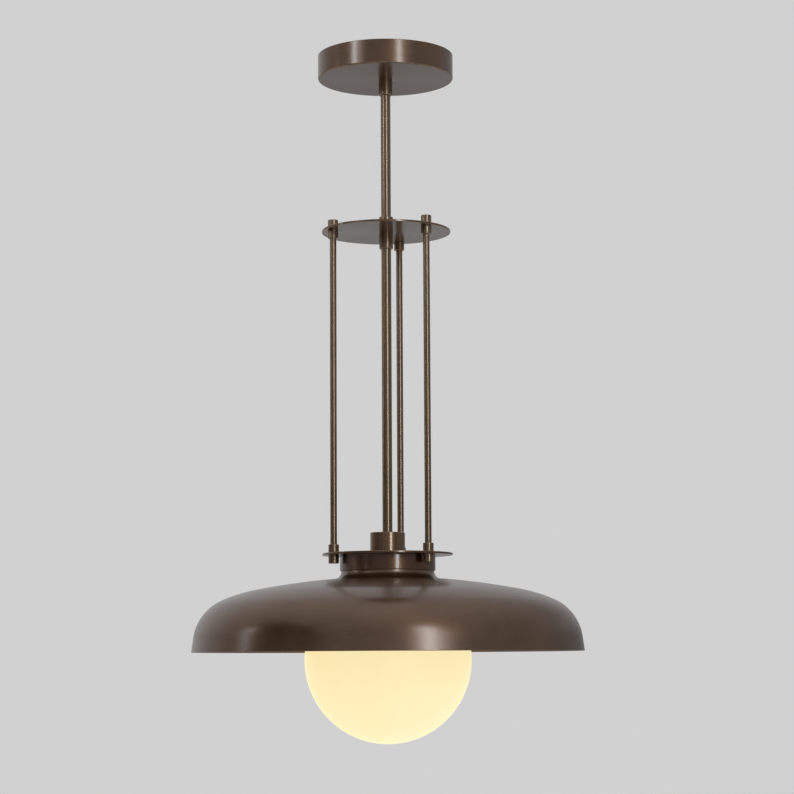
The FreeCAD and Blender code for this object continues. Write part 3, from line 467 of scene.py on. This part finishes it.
def hex_nut(node):
    """A nut whose corners are turned off and whose bore is countersunk."""
    low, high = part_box(node)
    flats = (high.y - low.y) / 2 / MM
    height = (high.z - low.z) / MM
    bore = THREAD_HOLE
    sink = 0.5
    turned = flats * 0.97
    segments = 72
    angles = [2 * math.pi * step / segments for step in range(segments)]
    reach = [flats / math.cos(angle % (math.pi / 3) - math.pi / 6) for angle in angles]
    drop = [(radius - turned) * math.tan(math.pi / 6) for radius in reach]

    def side(levels):
        return [(radius * math.cos(angle) * MM, radius * math.sin(angle) * MM, level * MM)
                for radius, angle, level in zip(reach, angles, levels)]

    rows = [
        ring_points(bore, sink, segments),
        ring_points(bore + sink, 0, segments),
        ring_points(turned, 0, segments),
        side(drop),
        side([height - fall for fall in drop]),
        ring_points(turned, height, segments),
        ring_points(bore + sink, height, segments),
        ring_points(bore, height - sink, segments),
    ]
    mesh = loft(node + "_cut", rows)
    add_piece(node + "_cut", mesh, Measure(node).foot, "frame", ZINC, "zinc_steel", node)


def thread_rows(radius, depth, pitch, low, high, segments, sharp):
    """Rows of a screw thread between two levels, fading out over its first and last turn."""
    count = round((high - low) / pitch * 8)
    rows = []
    for index in range(count + 1):
        level = low + (high - low) * index / count
        fade = min(1.0, (level - low) / pitch, (high - level) / pitch)
        row = []
        for step in range(segments):
            turn = step / segments
            phase = (level / pitch - turn) % 1.0
            wave = abs(2 * phase - 1) if sharp else 0.5 + 0.5 * math.cos(2 * math.pi * phase)
            reach = (radius - depth * (1 - wave * fade)) * MM
            angle = 2 * math.pi * turn
            row.append((reach * math.cos(angle), reach * math.sin(angle), level * MM))
        rows.append(row)
    return rows


def nipple(node):
    """A hollow tube threaded from end to end."""
    size = Measure(node)
    bore = size.radius - NIPPLE_WALL
    segments = 36
    rows = [ring_points(bore, size.height, segments), ring_points(bore, 0, segments)]
    rows += thread_rows(size.radius, THREAD_DEPTH, THREAD_PITCH, 0, size.height, segments, True)
    add_piece(node + "_cut", loft(node + "_cut", rows), size.foot, "frame", BRASS, "thread_brass", node)


def cross_screw(node, shank, head, material, slot):
    """A pan head screw, head down, with a cross in its head."""
    size = Measure(node)
    mesh = lathe(node + "_cut", rounded_outline([
        (0, 0, 0),
        (size.radius, 0, head * 0.6),
        (size.radius, head, 0.2),
        (shank, head, 0),
        (shank, size.height, 0.3),
        (0, size.height, 0),
    ]), SCREW_SEGMENTS)
    arm = size.radius * 0.55
    half = size.radius * 0.11
    for wide, deep in ((arm, half), (half, arm)):
        corners = [(-wide, -deep), (wide, -deep), (wide, deep), (-wide, deep)]
        mesh = carved(mesh, prism("cross", corners, -1, head * 0.5))
    add_piece(node + "_cut", mesh, size.foot, "frame", material, slot, node)


def terminal_screws():
    """Slotted screws in two rows under the terminal block."""
    low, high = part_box("terminal_screws")
    radius = 2.0
    slot_reach = 3.0
    slot_half = 0.35
    slot_depth = 1.0
    height = (high.z - low.z) / MM
    screw = lathe("terminal_screws_cut", rounded_outline([
        (0, 0, 0), (radius, 0, 0.3), (radius, height, 0), (0, height, 0),
    ], 3), 40)
    corners = [
        (-slot_reach, -slot_half),
        (slot_reach, -slot_half),
        (slot_reach, slot_half),
        (-slot_reach, slot_half),
    ]
    screw = carved(screw, prism("slot", corners, -1, slot_depth))
    columns = (low.x + radius * MM, 0.0, high.x - radius * MM)
    rows = (low.y + radius * MM, high.y - radius * MM)
    places = [(x, y, low.z) for x in columns for y in rows]
    add_piece("terminal_screws_cut", repeated(screw, places), (0, 0, 0), "frame", BRASS, "thread_brass",
              "terminal_screws")


def hardware():
    for node in ("bracket_nut", "cup_nut", "gallery_nut"):
        hex_nut(node)
    for node in ("bracket_nipple", "plate_nipple", "holder_nipple"):
        nipple(node)
    cross_screw("earth_screw", 2.0, 2.6, BRASS, "thread_brass")
    cross_screw("block_screw", 1.5, 2.0, ZINC, "zinc_steel")
    terminal_screws()


# Canopy and stem
STEM = Measure("upper_stem").radius
STEM_WALL = 1.5
SLIDE_GAP = 0.3


def canopy():
    wall = 1.5
    size = Measure("canopy")
    hole = STEM + SLIDE_GAP
    turned_piece("canopy", [
        (hole, 0, 0.2),
        (size.radius, 0, 1.8),
        (size.radius, size.height, 0.5),
        (size.radius - wall, size.height, 0.4),
        (size.radius - wall, wall, 1.0),
        (hole, wall, 0.2),
    ], "canopy", DARK_BRONZE, "dark_bronze")


def sleeve(node, body, bore, low_rounding, high_rounding, segments=SMALL_SEGMENTS):
    """A tube with its end edges broken."""
    size = Measure(node)
    return turned_piece(node, [
        (bore, 0, 0.15),
        (size.radius, 0, low_rounding),
        (size.radius, size.height, high_rounding),
        (bore, size.height, 0.15),
    ], body, WARM_BRONZE, "warm_bronze", segments)


def stem():
    sleeve("upper_stem", "frame", STEM - STEM_WALL, 0.2, 0.2)
    sleeve("lower_stem", "frame", STEM - STEM_WALL, 0.2, 0.2)
    sleeve("upper_coupler", "frame", STEM + FIT_GAP, 0.25, 1.2)
    sleeve("lower_coupler", "frame", STEM + FIT_GAP, 1.2, 0.25)
    collar_and_screw()


def collar_and_screw():
    """The canopy's collar, its threaded hole at the back and the socket screw in it."""
    size = Measure("canopy_collar")
    low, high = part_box("collar_set_screw")
    radius = (high.x - low.x) / 2 / MM
    hole = radius + FIT_GAP
    hole_length = 12
    socket_half = 1.0
    socket_depth = 1.4
    middle = size.height / 2
    body = lathe("canopy_collar_turned", rounded_outline([
        (STEM + FIT_GAP, 0, 0.15),
        (size.radius, 0, 1.2),
        (size.radius, size.height, 0.25),
        (STEM + FIT_GAP, size.height, 0.15),
    ]), SMALL_SEGMENTS)
    aim = Matrix.Translation((0, 0, middle * MM)) @ Matrix.Rotation(-math.pi / 2, 4, "X")
    hole_outline = [(0, 0, 0), (hole, 0, 0), (hole, hole_length, 0), (0, hole_length, 0)]
    drill = lathe("drill", hole_outline, SCREW_SEGMENTS)
    drill.transform(aim)
    add_piece("canopy_collar_turned", carved(body, drill), size.foot, "canopy", WARM_BRONZE, "warm_bronze",
              "canopy_collar")
    length = (high.y - low.y) / MM
    screw = lathe("set_screw", rounded_outline([
        (0, 0, 0), (radius, 0, 0.3), (radius, length, 0.3), (0, length, 0),
    ], 3), SCREW_SEGMENTS)
    socket = prism("socket", hexagon(socket_half), length - socket_depth, length + 1)
    screw = carved(screw, socket)
    screw.transform(Matrix.Rotation(-math.pi / 2, 4, "X"))
    place = Vector((0, low.y, (low.z + high.z) / 2))
    add_piece("set_screw", screw, place, "canopy", BLACK_STEEL, "black_steel", "collar_set_screw")


# Plates, rods and what holds them
ROD_NAMES = ("back", "left", "right")


def plate(node):
    size = Measure(node)
    turned_piece(node, [
        (THREAD_HOLE, 0, 0),
        (size.radius, 0, 0.5),
        (size.radius, size.height, 0.5),
        (THREAD_HOLE, size.height, 0),
    ], "frame", TURNED_BRONZE, "dark_bronze")


def solid_round(node, low_rounding, high_rounding):
    size = Measure(node)
    turned_piece(node, [
        (0, 0, 0),
        (size.radius, 0, low_rounding),
        (size.radius, size.height, high_rounding),
        (0, size.height, 0),
    ], "frame", WARM_BRONZE, "warm_bronze", SMALL_SEGMENTS)


def rods_and_plates():
    plate("upper_plate")
    plate("lower_plate")
    for name in ROD_NAMES:
        rod = Measure("rod_" + name).radius
        solid_round("rod_" + name, 0.2, 0.2)
        solid_round("upper_rod_cap_" + name, 0.2, 0.8)
        solid_round("lower_rod_cap_" + name, 0.8, 0.2)
        sleeve("upper_rod_collar_" + name, "frame", rod + FIT_GAP, 0.8, 0.2)
        sleeve("lower_rod_collar_" + name, "frame", rod + FIT_GAP, 0.2, 0.8)


# Socket cup, fitter ring and shade
def cup_and_ring():
    cup = Measure("socket_cup")
    wall = 1.5
    turned_piece("socket_cup", [
        (THREAD_HOLE, cup.height - wall, 0),
        (cup.radius - wall, cup.height - wall, 0),
        (cup.radius - wall, 0, 0),
        (cup.radius, 0, 0.2),
        (cup.radius, cup.height, 0.8),
        (THREAD_HOLE, cup.height, 0),
    ], "frame", CUP_BRONZE, "warm_bronze")
    ring = Measure("fitter_ring")
    turned_piece("fitter_ring", [
        (THREAD_HOLE, ring.height - wall, 0),
        (ring.radius - wall, ring.height - wall, 0),
        (ring.radius - wall, 0, 0.2),
        (ring.radius, 0, 1.2),
        (ring.radius, ring.height, 0.3),
        (THREAD_HOLE, ring.height, 0),
    ], "frame", TURNED_BRONZE, "dark_bronze")


def shade():
    """Spun dome: a neck, a concave fillet, three arcs that steepen and a tapered skirt, with an even wall."""
    size = Measure("shade")
    wall = 1.4
    gallery_gap = 0.2
    flange_width = 9.0
    neck = Measure("gallery").radius + gallery_gap + wall
    flange_bore = neck - wall - flange_width
    neck_length = 17.3
    fillet = 9.5
    crown, haunch, shoulder = (math.radians(angle) for angle in (4.7, 11, 24))
    taper = math.radians(8)
    skirt_slope = math.pi / 2 - taper
    haunch_radius = 181.6
    shoulder_radius = 56.6
    skirt_height = 17.5
    skirt_run = skirt_height * math.tan(taper)
    top = size.height
    crown_start = (neck + fillet * (1 - math.sin(crown)), top - neck_length - fillet * math.cos(crown))
    crown_run = size.radius - crown_start[0] - skirt_run
    crown_run -= haunch_radius * (math.sin(shoulder) - math.sin(haunch))
    crown_run -= shoulder_radius * (math.cos(taper) - math.sin(shoulder))
    crown_radius = crown_run / (math.sin(haunch) - math.sin(crown))

    def skin(inset):
        """Points of one face of the wall from the neck's top to the rim."""
        points = [(neck - inset, top - neck_length)]
        for step in range(1, 9):
            angle = math.pi / 2 + (crown - math.pi / 2) * step / 8
            across = neck + fillet - (fillet + inset) * math.sin(angle)
            points.append((across, top - neck_length - (fillet + inset) * math.cos(angle)))
        points += arc_points(points[-1], crown_radius - inset, crown, haunch, 14)
        points += arc_points(points[-1], haunch_radius - inset, haunch, shoulder, 12)
        points += arc_points(points[-1], shoulder_radius - inset, shoulder, skirt_slope, 20)
        return points

    rim_round = wall * 0.45
    outer = [(across, level, 0.0) for across, level in skin(0.0)]
    inner = [(across, level, 0.0) for across, level in skin(wall)]
    rim = rounded_outline([
        (inner[-1][0], inner[-1][1], 0),
        (size.radius - wall / math.cos(taper), 0, rim_round),
        (size.radius, 0, rim_round),
        (outer[-1][0], outer[-1][1], 0),
    ], 5)[1:-1]
    head = rounded_outline([
        (flange_bore, top - wall, 0),
        (neck, top - wall, 0),
        (neck, top, wall),
        (flange_bore, top, 0),
    ], 6)[2:]
    foot = [(flange_bore, top - wall, 0.0), (neck - wall, top - wall, 0.0)]
    outline = foot + inner + rim + outer[::-1] + head
    mesh = lathe("shade_turned", outline, SHADE_SEGMENTS)
    add_piece("shade_turned", mesh, size.foot, "frame", SHADE_BRONZE, "dark_bronze", "shade")


# Globe and bulb
def ball_skin(neck, fillet, ball, inset, neck_end, steps):
    """Points of one face of the glass from the neck's end to the bottom, and the ball's centre level."""
    lift = math.sqrt((ball + fillet) ** 2 - (neck + fillet) ** 2)
    centre = neck_end - lift
    lean = math.atan2(lift, neck + fillet)
    points = [(neck - inset, neck_end)]
    for step in range(1, 9):
        angle = lean * step / 8
        reach = fillet + inset
        points.append((neck + fillet - reach * math.cos(angle), neck_end - reach * math.sin(angle)))
    for step in range(1, steps + 1):
        angle = lean + (-math.pi / 2 - lean) * step / steps
        radius = ball - inset
        across = radius * math.cos(angle) if step < steps else 0.0
        points.append((across, centre + radius * math.sin(angle)))
    return points


def globe():
    """The ball, its neck and the rounded lip that the springs hold, as one even wall of glass."""
    size = Measure("globe")
    top = size.height
    wall = 3.0
    neck = 47.5
    neck_length = 27.0
    neck_fillet = 6.0
    lip_reach = 3.0
    lip_height = 4.0
    lip = neck + lip_reach
    lip_foot = top - lip_height
    neck_end = top - neck_length
    outer = ball_skin(neck, neck_fillet, size.radius, 0.0, neck_end, 64)
    inner = ball_skin(neck, neck_fillet, size.radius, wall, neck_end, 64)
    rim = rounded_outline([
        (neck, neck_end, 0),
        (neck, lip_foot, 0.5),
        (lip, lip_foot, 1.2),
        (lip, top, 1.2),
        (neck - wall, top, 0.8),
        (neck - wall, neck_end, 0),
    ])[1:-1]
    skin = [(across, level, 0.0) for across, level in outer]
    lining = [(across, level, 0.0) for across, level in inner]
    mesh = lathe("globe_glass", skin[::-1] + rim + lining, ROUND_SEGMENTS)
    add_piece("globe_glass", mesh, size.foot, "globe", OPAL, "opal_glass", "globe")


def bulb():
    """Frosted glass on a nickel cap with a rounded thread."""
    size = Measure("bulb_glass")
    wall = 1.0
    fillet = 40.0
    cap = Measure("bulb_cap")
    neck_end = size.radius + math.sqrt((size.radius + fillet) ** 2 - (cap.radius + fillet) ** 2)
    outer = ball_skin(cap.radius, fillet, size.radius, 0.0, neck_end, 40)
    inner = ball_skin(cap.radius, fillet, size.radius, wall, neck_end, 40)
    top = [(cap.radius, size.height), (cap.radius - wall, size.height)]
    outline = [(across, level, 0.0) for across, level in outer[::-1] + top + inner]
    mesh = lathe("bulb_frosted", outline, HOLDER_SEGMENTS)
    add_piece("bulb_frosted", mesh, size.foot, "bulb", FROST, "bulb_frost", "bulb_glass")
    segments = 72
    taper = 2.0
    thread_depth = 1.2
    thread_pitch = 3.63
    thread_start = 1.6
    shoulder = cap.height - taper
    crown = Measure("bulb_insulator").radius
    inside = cap.radius - taper
    rows = [ring_points(inside, shoulder, segments), ring_points(inside, 0, segments)]
    rows += [ring_points(cap.radius, 0, segments), ring_points(cap.radius, thread_depth, segments)]
    rows += thread_rows(cap.radius, thread_depth, thread_pitch, thread_start, shoulder, segments, False)
    rows += [ring_points(crown, cap.height, segments), ring_points(crown - taper, cap.height, segments)]
    add_piece("bulb_thread", loft("bulb_thread", rows), cap.foot, "bulb", NICKEL, "cap_nickel", "bulb_cap")


# Lampholder
def lampholder():
    cap = Measure("holder_cap")
    boss = 9.0
    wall = 2.0
    boss_height = 7.0
    shoulder_drop = 15.0
    curve = 11.0
    thread_end = cap.height - 10.0
    shoulder = (boss, cap.height - boss_height)
    edge = (cap.radius, cap.height - shoulder_drop)
    chord = Vector(edge) - Vector(shoulder)
    inward = Vector((chord.y, -chord.x)).normalized()
    centre = (Vector(edge) + Vector(shoulder)) / 2
    centre += inward * math.sqrt(curve ** 2 - (chord.length / 2) ** 2)
    first = math.atan2(edge[1] - centre.y, edge[0] - centre.x)
    last = math.atan2(shoulder[1] - centre.y, shoulder[0] - centre.x)
    dome = []
    for step in range(13):
        angle = first + (last - first) * step / 12
        dome.append((centre.x + curve * math.cos(angle), centre.y + curve * math.sin(angle), 0.0))
    inside = cap.radius - wall
    foot = rounded_outline([
        (inside, edge[1] - wall, 0),
        (inside, 0, 0.3),
        (cap.radius, 0, 0.4),
        (*edge, 0),
    ])
    head = rounded_outline([
        (*shoulder, 0),
        (boss, cap.height, 0.6),
        (THREAD_HOLE, cap.height, 0.3),
        (THREAD_HOLE, thread_end, 0),
        (boss - wall, thread_end, 0),
    ])
    mesh = lathe("holder_cap_glazed", foot[:-1] + dome + head[1:], HOLDER_SEGMENTS)
    add_piece("holder_cap_glazed", mesh, cap.foot, "frame", PORCELAIN, "holder_porcelain", "holder_cap")
    skirt = Measure("holder_skirt")
    bore = Measure("holder_shell").radius + FIT_GAP
    turned_piece("holder_skirt", [
        (bore, 0, 0.6),
        (skirt.radius, 0, 1.4),
        (skirt.radius, skirt.height, 0.4),
        (bore, skirt.height, 0),
    ], "frame", PORCELAIN, "holder_porcelain", HOLDER_SEGMENTS)


# Lead inside the stems
def stem_lead():
    """The sheathed lead from the lampholder up the stems and over to the terminal block."""
    low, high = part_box("stem_lead")
    block_low, block_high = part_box("terminal_block")
    radius = 2.5 * MM
    level = high.z - radius
    back = high.y - radius
    entry = (block_low.z + block_high.z) / 2
    bend = 0.009
    tail = 0.006
    points = [
        (0, 0, low.z),
        (0, 0, level - bend),
        (0, 0, level),
        (0, back, level),
        (0, back, entry),
        (0, back - tail, entry),
    ]
    data = bpy.data.curves.new("lead_sheath", "CURVE")
    data.dimensions = "3D"
    data.bevel_depth = radius
    data.bevel_resolution = 6
    data.use_fill_caps = True
    spline = data.splines.new("NURBS")
    spline.points.add(len(points) - 1)
    for point, place in zip(spline.points, points):
        point.co = (*place, 1.0)
    spline.order_u = 3
    spline.use_endpoint_u = True
    spline.resolution_u = 16
    item = bpy.data.objects.new("lead_sheath", data)
    bpy.context.scene.collection.objects.link(item)
    data.materials.append(SHEATH)
    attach(item, "frame")
    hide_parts("stem_lead")


# Sheet metal and small pieces that keep their CAD shape, with their edges broken by so many millimetres
CAD_FINISH = {
    "ceiling_bracket": (ZINC, 0.3), "bracket_washer": (ZINC, 0.15), "earth_washer": (ZINC, 0.15),
    "gallery": (ZINC, 0.3), "gallery_washer": (ZINC, 0.15), "spring_rivets": (ZINC, 0.15),
    "upper_rod_studs": (ZINC, 0.3), "lower_rod_studs": (ZINC, 0.3), "globe_springs": (SPRING_STEEL, 0.1),
    "holder_shell": (BRASS, 0.1), "holder_contact": (BRASS, 0.15), "terminal_block": (PLASTIC, 0.35),
    "globe_gasket": (RUBBER, 0.3), "holder_insert": (PORCELAIN, 0.3), "bulb_contact": (NICKEL, 0.2),
    "bulb_insulator": (BLACK_CERAMIC, 0.2),
}


def dress_cad_nodes():
    for name, (material, edge) in CAD_FINISH.items():
        item = nodes[name]
        item.data.materials.clear()
        item.data.materials.append(material)
        weld = item.modifiers.new("join_faces", "WELD")
        weld.merge_threshold = 1e-5
        bevel = item.modifiers.new("broken_edges", "BEVEL")
        bevel.width = edge * MM
        bevel.segments = 2
        bevel.limit_method = "ANGLE"
        bevel.angle_limit = math.radians(40)
        weigh_normals(item)


# Studio
BACKGROUND = 0.638


def world():
    """A pale grey backdrop; the rest of the studio, which the metal shows, is darker."""
    scene_world = bpy.data.worlds.new("studio")
    bpy.context.scene.world = scene_world
    scene_world.use_nodes = True
    tree = scene_world.node_tree
    back = tree.nodes["Background"]
    aim = add_node(tree, "TexCoord").outputs["Generated"]
    lean = (-0.35, 0.9, 0.5)
    facing = add_node(tree, "VectorMath", {0: aim, 1: lean}, operation="DOT_PRODUCT").outputs["Value"]
    away = add_node(tree, "MapRange", {
        "Value": facing, "From Min": 1.08, "From Max": 0.6, "To Min": 0.0, "To Max": 1.0,
    }, interpolation_type="SMOOTHSTEP").outputs[0]
    up = add_node(tree, "SeparateXYZ", {0: aim}).outputs[2]
    rise = math_node(tree, "ABSOLUTE", up)
    pale = (BACKGROUND, BACKGROUND, BACKGROUND, 1)
    low = (0.14, 0.14, 0.145, 1)
    high = (0.36, 0.36, 0.365, 1)
    dim = mix_colour(tree, remap(tree, rise, 0.0, 1.0, 0.02, 0.22), low, high)
    dim = mix_colour(tree, remap(tree, up, 0.0, 1.0, 0.55, 0.95), dim, pale)
    surround = mix_colour(tree, away, pale, dim)
    seen = add_node(tree, "LightPath").outputs["Is Camera Ray"]
    tree.links.new(mix_colour(tree, seen, surround, pale), back.inputs["Color"])
    back.inputs["Strength"].default_value = 1.0


def soft_box(name, azimuth, distance, level, width, height, radiance, target_level):
    """An upright lamp, its azimuth to the right of the camera's side as seen from the light fitting."""
    angle = math.radians(azimuth)
    data = bpy.data.lights.new(name, "AREA")
    data.shape = "RECTANGLE"
    data.size = width
    data.size_y = height
    data.energy = radiance * math.pi * width * height
    data.color = (0.90, 1.0, 1.07)
    lamp = bpy.data.objects.new(name, data)
    lamp.location = (math.sin(angle) * distance, -math.cos(angle) * distance, level)
    aim = Vector((0, 0, target_level)) - lamp.location
    lamp.rotation_euler = aim.to_track_quat("-Z", "Y").to_euler()
    lamp.visible_camera = False
    bpy.context.scene.collection.objects.link(lamp)


def lamps():
    """Strips for the streaks in the metal, and wider and weaker panels near them."""
    right = 23
    left = -53
    strip_distance = 2.6
    panel_distance = 2.7
    soft_box("right_high_strip", right, strip_distance, level=0.28, width=0.32, height=1.24,
             radiance=6.8, target_level=-0.3)
    soft_box("right_low_strip", right, strip_distance, level=-0.47, width=0.32, height=0.26,
             radiance=8.8, target_level=-0.6)
    soft_box("left_high_strip", left, strip_distance, level=0.75, width=0.34, height=0.7,
             radiance=5.4, target_level=0.0)
    soft_box("left_low_strip", left, strip_distance, level=-0.75, width=0.30, height=0.3,
             radiance=2.4, target_level=-0.6)
    soft_box("left_side_strip", -88, strip_distance, level=0.05, width=0.16, height=0.8,
             radiance=3.8, target_level=-0.3)
    soft_box("right_glow", 26, panel_distance, level=0.1, width=0.9, height=0.8,
             radiance=0.9, target_level=-0.3)
    soft_box("left_glow", -48, panel_distance, level=0.75, width=0.9, height=0.7,
             radiance=1.1, target_level=0.0)


def stage_board(name, corners, low_tone, high_tone):
    """A flat board of the studio with slightly uneven paint."""
    mesh = bpy.data.meshes.new(name)
    mesh.from_pydata(corners, [], [(0, 1, 2, 3)])
    material, tree, shader = new_material(name + "_paint")
    soft = noise(tree, object_place(tree), 0.8)
    paint = mix_colour(tree, soft, (low_tone, low_tone, low_tone, 1), (high_tone, high_tone, high_tone, 1))
    tree.links.new(paint, shader.inputs["Base Color"])
    shader.inputs["Roughness"].default_value = 0.9
    mesh.materials.append(material)
    item = bpy.data.objects.new(name, mesh)
    bpy.context.scene.collection.objects.link(item)
    return item


def floor():
    """A pale floor far below, which the camera sees a little paler."""
    half = 30.0
    level = -2.6
    glow = 0.3
    corners = [(-half, -half, level), (half, -half, level), (half, half, level), (-half, half, level)]
    board = stage_board("floor", corners, 0.80, 0.84)
    tree = board.data.materials[0].node_tree
    shader = tree.nodes["Principled BSDF"]
    seen = add_node(tree, "LightPath").outputs["Is Camera Ray"]
    shader.inputs["Emission Color"].default_value = (BACKGROUND, BACKGROUND, BACKGROUND, 1)
    tree.links.new(math_node(tree, "MULTIPLY", seen, glow), shader.inputs["Emission Strength"])


def flag():
    """A dark upright cloth, thinner towards its edges, that keeps the high left lamp off the shade."""
    away = 0.8
    half = 0.38
    low = -0.74
    high = -0.12
    fade = 0.16
    azimuth = -56
    corners = [(-half, -away, low), (half, -away, low), (half, -away, high), (-half, -away, high)]
    board = stage_board("flag", corners, 0.10, 0.13)
    board.rotation_euler.z = math.radians(azimuth)
    board.visible_camera = False
    tree = board.data.materials[0].node_tree
    place = add_node(tree, "SeparateXYZ", {0: object_place(tree)})
    across = math_node(tree, "ABSOLUTE", place.outputs[0])
    along = math_node(tree, "ABSOLUTE", math_node(tree, "SUBTRACT", place.outputs[2], (low + high) / 2))
    tall = (high - low) / 2
    wide_share = remap(tree, across, 1.0, 0.0, half - fade, half)
    tall_share = remap(tree, along, 1.0, 0.0, tall - fade, tall)
    cover = math_node(tree, "MULTIPLY", wide_share, tall_share)
    tree.links.new(cover, tree.nodes["Principled BSDF"].inputs["Alpha"])


def camera():
    focal_pixels = 2300.0
    distance = 2.770
    eye_level = -0.7425
    pitch = math.radians(6.575)
    centre_offset_pixels = 10.2
    yaw = math.atan2(centre_offset_pixels, focal_pixels)
    roll = math.radians(0.3)
    data = bpy.data.cameras.new("camera")
    data.sensor_width = 36.0
    data.lens = data.sensor_width * focal_pixels / IMAGE_SIZE
    data.clip_end = 100.0
    item = bpy.data.objects.new("camera", data)
    turn = Euler((math.pi / 2 + pitch, 0, -yaw)).to_matrix() @ Matrix.Rotation(-roll, 3, "Z")
    item.matrix_world = Matrix.Translation((0, -distance, eye_level)) @ turn.to_4x4()
    bpy.context.scene.collection.objects.link(item)
    bpy.context.scene.camera = item


canopy()
stem()
rods_and_plates()
cup_and_ring()
shade()
globe()
bulb()
lampholder()
stem_lead()
hardware()
dress_cad_nodes()
world()
lamps()
floor()
flag()
camera()
bpy.context.scene.view_settings.view_transform = "Standard"
